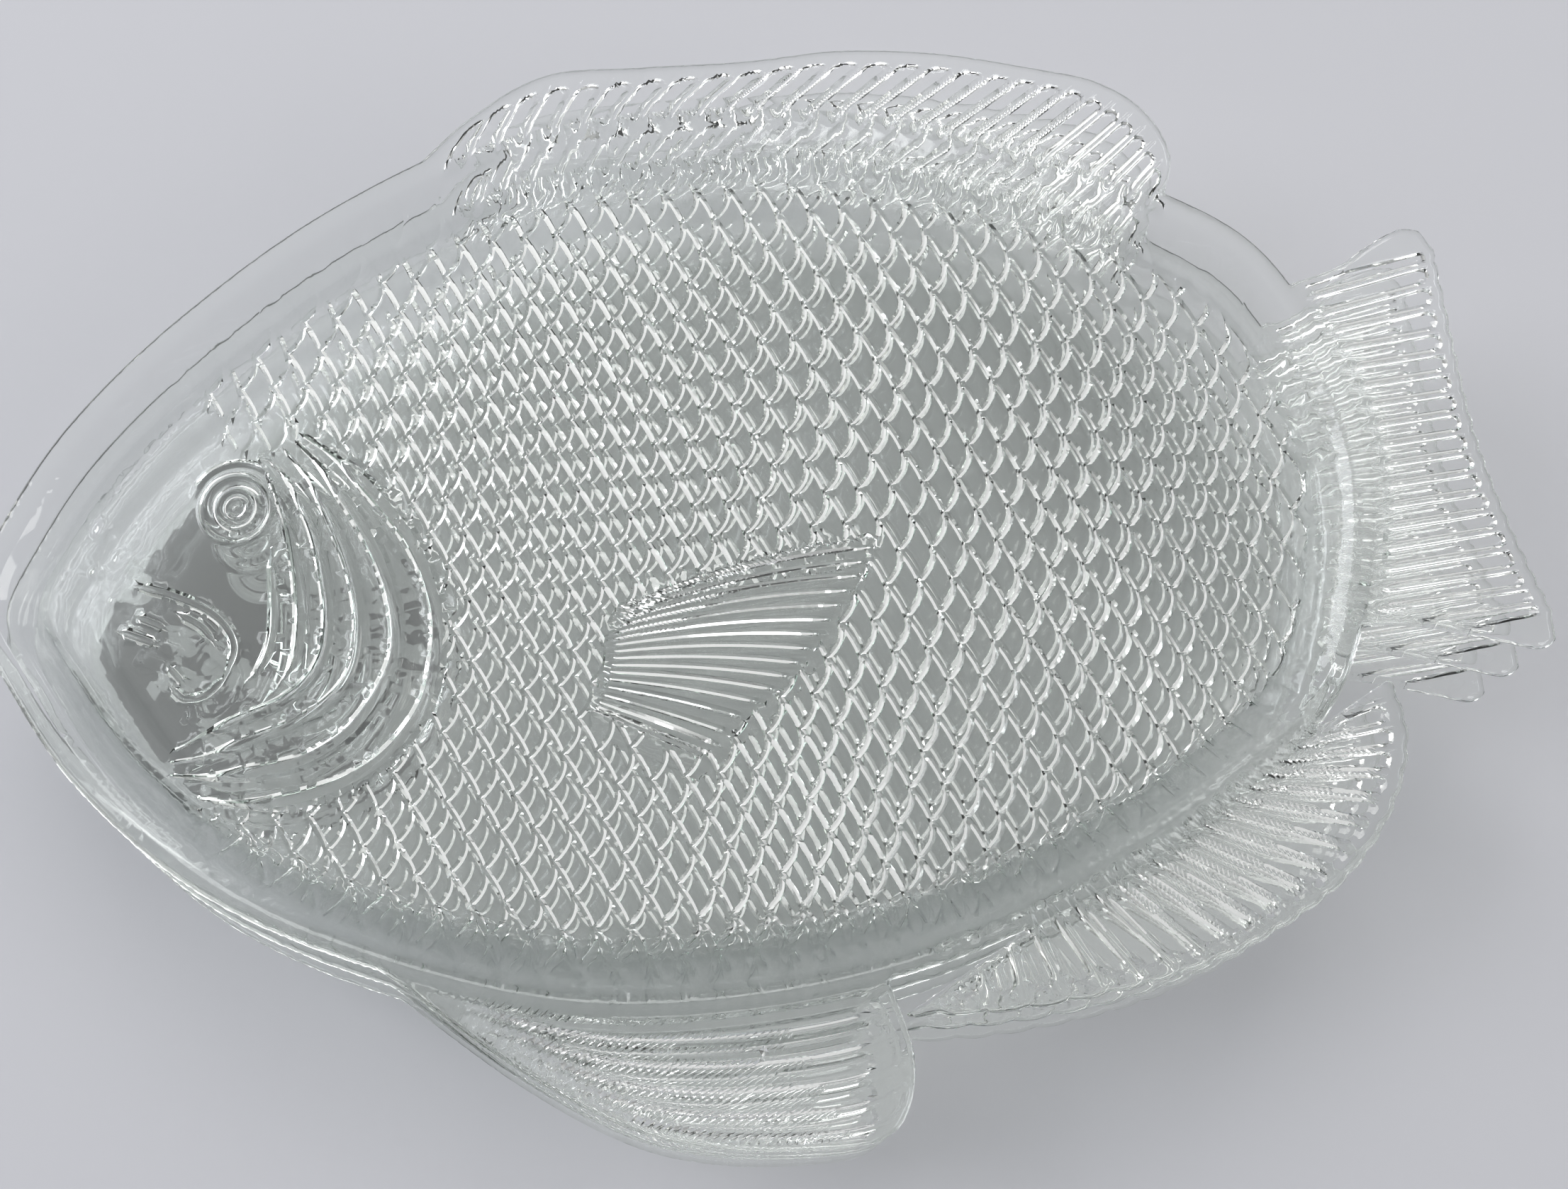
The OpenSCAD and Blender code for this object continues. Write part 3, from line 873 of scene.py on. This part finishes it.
lay(fill, np.where(in_scales, scale_depth, 0) + np.where(in_head, head_relief(fill), 0))
lower_xy = np.concatenate(lower_points)
lower_add = np.concatenate(lower_relief)
print("lower face:", len(lower_xy), "points")

# %% [markdown]
# The upper face is smooth. Rings are enough for it, closer together over the rim and at the foot of
# the wall, where it bends most.

# %% Upper face
UPPER_RINGS = (
    0, 0.9, 1.8, 2.75, 3.7, 4.6, 5.5, 6.5, 8.0, 10.0, 12.0, 14.0, 15.2, 16.2, 17.0, 18.0, 19.2, 21,
)
RIM_END, FOOT_START, MANY_POINTS, FEW_POINTS = 6, 15.5, 760, 380
UPPER_EDGE, UPPER_CLEAR = 1.9, 0.6
UPPER_STEP, UPPER_APART = 6, 3
taken[:] = False
taken[tuple(cells_of(edge))] = True
upper_points = [ring[sift(ring, RING_CLEAR)] for ring in rim_rings]
for inset_in in UPPER_RINGS:
    count = MANY_POINTS if inset_in < RIM_END or inset_in > FOOT_START else FEW_POINTS
    p = inside_edge(dish_ring(inset_in, rings_in(count)), UPPER_EDGE)
    upper_points.append(p[sift(p, UPPER_CLEAR)])
fill = inside_edge(hexagonal(UPPER_STEP), UPPER_APART)
upper_points.append(fill[sift(fill, UPPER_APART)])
upper_xy = np.concatenate(upper_points)
print("upper face:", len(upper_xy), "points")

# %% [markdown]
# Each face is triangulated inside the outline, and the two share the ring of points along it. The
# same skin makes all three platters, because all came out of one mould.

# %% Triangles of both faces
ring_edges = [(i, (i + 1) % len(edge)) for i in range(len(edge))]


def triangles(p):
    """Triangles between the outline and the points, without those that lie outside it."""
    whole = [Vector(q) for q in np.concatenate([edge, p]).tolist()]
    verts, _, faces, _, _, _ = delaunay_2d_cdt(whole, ring_edges, [], 1, 1e-6, False)
    if len(verts) != len(whole):
        raise SystemExit("the triangulation added points: %d of %d" % (len(verts), len(whole)))
    flat, faces = np.array(whole), np.array(faces, int)
    return faces[~outside(flat[faces].mean(axis=1), edge)]


lower_faces = triangles(lower_xy)
upper_faces = triangles(upper_xy)
print("triangles below and above:", len(lower_faces), len(upper_faces))

# %% [markdown]
# Now each point gets its height, and the triangles are turned to face out of the glass.

# %% Build the skin
n_edge, n_low = len(edge), len(lower_xy)
edge_z = faces_at(inset_of(edge), np.zeros(n_edge), 0)[0]
low_z = faces_at(inset_of(lower_xy), edge_distance(lower_xy), lower_add)[1]
up_z = faces_at(inset_of(upper_xy), edge_distance(upper_xy), 0)[0]
skin = np.concatenate([
    np.column_stack([edge, edge_z]), np.column_stack([lower_xy, low_z]), np.column_stack([upper_xy, up_z]),
])
upper_faces = np.where(upper_faces >= n_edge, upper_faces + n_low, upper_faces)


def facing(faces, up):
    """The triangles, each turned to face up or down."""
    a, b, c = (skin[faces[:, k], :2] for k in range(3))
    turn = (b - a)[:, 0] * (c - a)[:, 1] - (b - a)[:, 1] * (c - a)[:, 0]
    flip = (turn < 0) if up else (turn > 0)
    faces = faces.copy()
    faces[flip] = faces[flip][:, ::-1]
    return faces


skin_faces = np.concatenate([facing(lower_faces, False), facing(upper_faces, True)])
print("skin:", len(skin), "points,", len(skin_faces), "triangles, lowest", skin[:, 2].min().round(3))

# %% [markdown]
# Each pressed point is marked with what it belongs to, so that a platter can keep the crisp edges of
# some of its relief and let the rest blur.

# %% Kinds of relief
FINS, SCALES, HEAD = 1, 2, 3
RIM_INSET, CREASE_INSET = 1, 7
low_inset, is_pressed, on_fin = inset_of(lower_xy), lower_add > 0, ~off_lands(lower_xy)
of_head = ~outside(lower_xy, side_outline) | (is_pressed & ~outside(lower_xy, head_edge))
relief_kind = np.zeros(len(skin), int)
relief_kind[n_edge : n_edge + n_low] = np.select([
    ((low_inset < RIM_INSET) | on_fin) & is_pressed,
    (low_inset > CREASE_INSET) & of_head,
    (low_inset > CREASE_INSET) & is_pressed,
], [FINS, HEAD, SCALES], 0)
print("points of fins, scales and head:", np.bincount(relief_kind)[FINS:])

# %% [markdown]
# ## Clear pressed glass
# The glass is colourless where it is thin. A very faint ripple of the fire-polished face breaks up the
# reflections, and faint smears make the shine uneven, as on glass that has been handled.

# %% Surface of the glass
glass = bpy.data.materials.new("clear_pressed_glass")
glass.use_nodes = True
nodes, links = glass.node_tree.nodes, glass.node_tree.links
nodes.clear()
out = nodes.new("ShaderNodeOutputMaterial")
shader = nodes.new("ShaderNodeBsdfPrincipled")
shader.inputs["Base Color"].default_value = (0.985, 0.99, 0.985, 1)
shader.inputs["Transmission Weight"].default_value = 1
shader.inputs["IOR"].default_value = 1.5
coords = nodes.new("ShaderNodeTexCoord")


def noise(scale, detail):
    """Soft noise in the platter's own coordinates."""
    node = nodes.new("ShaderNodeTexNoise")
    node.inputs["Scale"].default_value = scale
    node.inputs["Detail"].default_value = detail
    links.new(coords.outputs["Object"], node.inputs["Vector"])
    return node.outputs["Fac"]


bump = nodes.new("ShaderNodeBump")
bump.inputs["Strength"].default_value = 0.06
bump.inputs["Distance"].default_value = 0.0006
links.new(noise(scale=60, detail=3), bump.inputs["Height"])
links.new(bump.outputs["Normal"], shader.inputs["Normal"])
rough = nodes.new("ShaderNodeMapRange")
for limit, value in (("From Min", 0.4), ("From Max", 0.7), ("To Min", 0.015), ("To Max", 0.05)):
    rough.inputs[limit].default_value = value
links.new(noise(scale=14, detail=6), rough.inputs["Value"])
links.new(rough.outputs["Result"], shader.inputs["Roughness"])
print("surface of the glass ready")

# %% [markdown]
# The light that glass throws on a table would need caustics, which are slow and noisy. So rays for
# shadows pass the glass, dimmed a little. The grey-green cast of thick glass comes from absorption.

# %% Shadow and depth of the glass
light_path = nodes.new("ShaderNodeLightPath")
clear = nodes.new("ShaderNodeBsdfTransparent")
clear.inputs["Color"].default_value = (0.7, 0.71, 0.705, 1)
mix = nodes.new("ShaderNodeMixShader")
links.new(light_path.outputs["Is Shadow Ray"], mix.inputs["Fac"])
links.new(shader.outputs["BSDF"], mix.inputs[1])
links.new(clear.outputs["BSDF"], mix.inputs[2])
links.new(mix.outputs["Shader"], out.inputs["Surface"])
absorb = nodes.new("ShaderNodeVolumeAbsorption")
absorb.inputs["Color"].default_value = (0.58, 0.67, 0.62, 1)
absorb.inputs["Density"].default_value = 18
links.new(absorb.outputs["Volume"], out.inputs["Volume"])
print("glass ready with", len(nodes), "nodes")

# %% [markdown]
# ## The three platters
# Seen through one another, three sets of creases blur into noise. So the top platter keeps them all,
# the middle one those of fins and scales, and the bottom one those of its fins.

# %% Mesh of one platter
MM = 1000
CREASE_DEGREES = 27


def platter_mesh(name, points, creased):
    """Mesh of the skin with these points, its sharp edges kept where a creased point ends them."""
    mesh = bpy.data.meshes.new(name)
    mesh.vertices.add(len(points))
    mesh.vertices.foreach_set("co", points.ravel())
    mesh.loops.add(len(skin_faces) * 3)
    mesh.loops.foreach_set("vertex_index", skin_faces.ravel())
    mesh.polygons.add(len(skin_faces))
    mesh.polygons.foreach_set("loop_start", np.arange(len(skin_faces)) * 3)
    mesh.update(calc_edges=True)
    mesh.validate()
    mesh.shade_smooth()
    mesh.set_sharp_from_angle(angle=math.radians(CREASE_DEGREES))
    sharp = np.zeros(len(mesh.edges), bool)
    mesh.attributes["sharp_edge"].data.foreach_get("value", sharp)
    ends = np.zeros(len(mesh.edges) * 2, int)
    mesh.edges.foreach_get("vertices", ends)
    sharp &= creased[ends].reshape(-1, 2).any(axis=1)
    mesh.attributes["sharp_edge"].data.foreach_set("value", sharp)
    print(name, "has", len(mesh.vertices), "points and", sharp.sum(), "sharp edges")
    return mesh


print("creases from", CREASE_DEGREES, "degrees")

# %% [markdown]
# Each platter takes the place of its plain solid and rides its own body. The skin is shifted until
# its outline and foot lie in that solid's box, and is held inside it.

# %% Place the three platters
for kinds, word in enumerate(("bottom", "middle", "top"), start=FINS):
    low, high = (np.array(v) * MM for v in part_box("platter_" + word))
    shift = np.array([
        (low[0] + high[0] - fine_outline[:, 0].min() - fine_outline[:, 0].max()) / 2,
        (low[1] + high[1] - fine_outline[:, 1].min() - fine_outline[:, 1].max()) / 2,
        low[2],
    ])
    points = np.clip((skin + shift) / MM, low / MM, high / MM)
    creased = (relief_kind > 0) & (relief_kind <= kinds)
    mesh = platter_mesh("glass_platter_" + word, points, creased)
    mesh.materials.append(glass)
    piece = bpy.data.objects.new("glass_platter_" + word, mesh)
    bpy.context.scene.collection.objects.link(piece)
    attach(piece, word + "_platter")
    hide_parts("platter_" + word)
    print("platter", word, "shifted by", shift.round(2))

# %% [markdown]
# ## Floor and light
# The floor is plain, pale and round, so that no corner of it shows from low down.

# %% Floor
FLOOR_R, FLOOR_SIDES = 1.9, 128
bpy.ops.mesh.primitive_circle_add(
    vertices=FLOOR_SIDES, radius=FLOOR_R, fill_type="NGON", location=(0, 0, 0)
)
floor = bpy.context.object
floor.name = "floor"
floor_paint = bpy.data.materials.new("floor_paint")
floor_paint.use_nodes = True
paint = floor_paint.node_tree.nodes["Principled BSDF"]
paint.inputs["Base Color"].default_value = (0.55, 0.55, 0.57, 1)
paint.inputs["Roughness"].default_value = 0.7
floor.data.materials.append(floor_paint)
print("floor of radius", FLOOR_R, "m")

# %% [markdown]
# Clear glass shows mostly what it mirrors and bends, so the room counts as much as the lamps. Seen in
# the glass, it is dim low down and bright overhead, and a little brighter at the back left.

# %% Sky in the glass
world = bpy.data.worlds.new("studio")
bpy.context.scene.world = world
world.use_nodes = True
sky_nodes, sky_links = world.node_tree.nodes, world.node_tree.links


def sky_ramp(factor, stops):
    """Brightness along a factor from 0 to 1."""
    ramp = sky_nodes.new("ShaderNodeValToRGB")
    while len(ramp.color_ramp.elements) < len(stops):
        ramp.color_ramp.elements.new(0.5)
    for element, (position, bright) in zip(ramp.color_ramp.elements, stops):
        element.position = position
        element.color = (bright, bright, bright, 1)
    sky_links.new(factor, ramp.inputs["Fac"])
    return ramp.outputs["Color"]


def sky_sum(kind, operation, first, second):
    """Node that works on a value and a second value, which may be a constant."""
    node = sky_nodes.new(kind)
    node.operation = operation
    sky_links.new(first, node.inputs[0])
    if isinstance(second, bpy.types.NodeSocket):
        sky_links.new(second, node.inputs[1])
    else:
        node.inputs[1].default_value = second
    return node.outputs


sky_dir = sky_nodes.new("ShaderNodeTexCoord").outputs["Generated"]
sky_axes = sky_nodes.new("ShaderNodeSeparateXYZ")
sky_links.new(sky_dir, sky_axes.inputs[0])
by_height = sky_ramp(sky_axes.outputs["Z"], [(0.0, 0.3), (0.3, 0.5), (0.6, 0.85), (0.85, 1), (1.0, 1)])
key_side = sky_sum("ShaderNodeVectorMath", "DOT_PRODUCT", sky_dir, (-0.42, 0.27, 0))["Value"]
key_half = sky_sum("ShaderNodeMath", "ADD", key_side, 0.5)[0]
by_side = sky_ramp(key_half, [(0.05, 0.66), (0.45, 0.76), (0.65, 0.93), (0.95, 1.15)])
sky_seen = sky_nodes.new("ShaderNodeBackground")
sky_both = sky_sum("ShaderNodeVectorMath", "MULTIPLY", by_height, by_side)["Vector"]
sky_links.new(sky_both, sky_seen.inputs["Color"])
print("sky in the glass set")

# %% [markdown]
# Everything else is lit by an even, slightly cool light, and the camera sees a plain pale wall where
# it looks past the floor.

# %% Sky for the rest
sky_light = sky_nodes["Background"]
sky_light.inputs["Color"].default_value = (0.9, 0.93, 1.0, 1)
sky_light.inputs["Strength"].default_value = 0.35
sky_pale = sky_nodes.new("ShaderNodeBackground")
sky_pale.inputs["Color"].default_value = (0.62, 0.62, 0.64, 1)
sky_path = sky_nodes.new("ShaderNodeLightPath")


def sky_mixed(factor, first, second):
    """Mix of two lights by a factor."""
    node = sky_nodes.new("ShaderNodeMixShader")
    for socket, value in zip(node.inputs, (factor, first, second)):
        sky_links.new(value, socket)
    return node.outputs[0]


meets_glass = sky_sum(
    "ShaderNodeMath", "MAXIMUM",
    sky_path.outputs["Is Glossy Ray"], sky_path.outputs["Is Transmission Ray"],
)[0]
sky_mix = sky_mixed(meets_glass, sky_light.outputs[0], sky_seen.outputs[0])
sky_front = sky_mixed(sky_path.outputs["Is Camera Ray"], sky_mix, sky_pale.outputs[0])
sky_links.new(sky_front, sky_nodes["World Output"].inputs["Surface"])
print("sky ready with", len(sky_nodes), "nodes")

# %% [markdown]
# Three large soft lamps stand low at the sides. Low side light is what makes the relief of clear
# glass readable, because the steep flanks of the ridges turn it up to the camera.

# %% Lamps
def soft_lamp(name, place, size, power, tint):
    """Large lamp that shines at the stack."""
    lamp = bpy.data.lights.new(name, "AREA")
    lamp.shape = "RECTANGLE"
    lamp.size, lamp.size_y = size
    lamp.energy = power
    lamp.color = tint
    holder = bpy.data.objects.new(name, lamp)
    holder.location = place
    holder.rotation_euler = (-Vector(place)).to_track_quat("-Z", "Y").to_euler()
    # the glass mirrors the sky alone, because a lamp would show in it as a hard white rectangle
    holder.visible_glossy = False
    bpy.context.scene.collection.objects.link(holder)
    print(name, "of", power, "W at", place)


soft_lamp("lamp_left", (-2.2, 1.0, 1.4), (1.8, 1.8), 56, (0.95, 0.96, 1.0))
soft_lamp("lamp_right", (2.4, -0.6, 1.2), (1.8, 1.4), 36, (1.0, 0.98, 0.95))
soft_lamp("lamp_back", (0.4, 2.6, 1.8), (2.4, 1.2), 40, (1.0, 1.0, 1.0))

# %% [markdown]
# ## Finish
# A ray crosses up to six faces of glass on its way down and as many on its way up, so it is allowed
# enough bounces.

# %% Bounces and view transform
scene = bpy.context.scene
scene.view_settings.view_transform = "Standard"
scene.cycles.max_bounces = 14
scene.cycles.transmission_bounces = 14
scene.cycles.transparent_max_bounces = 16
scene.cycles.glossy_bounces = 6
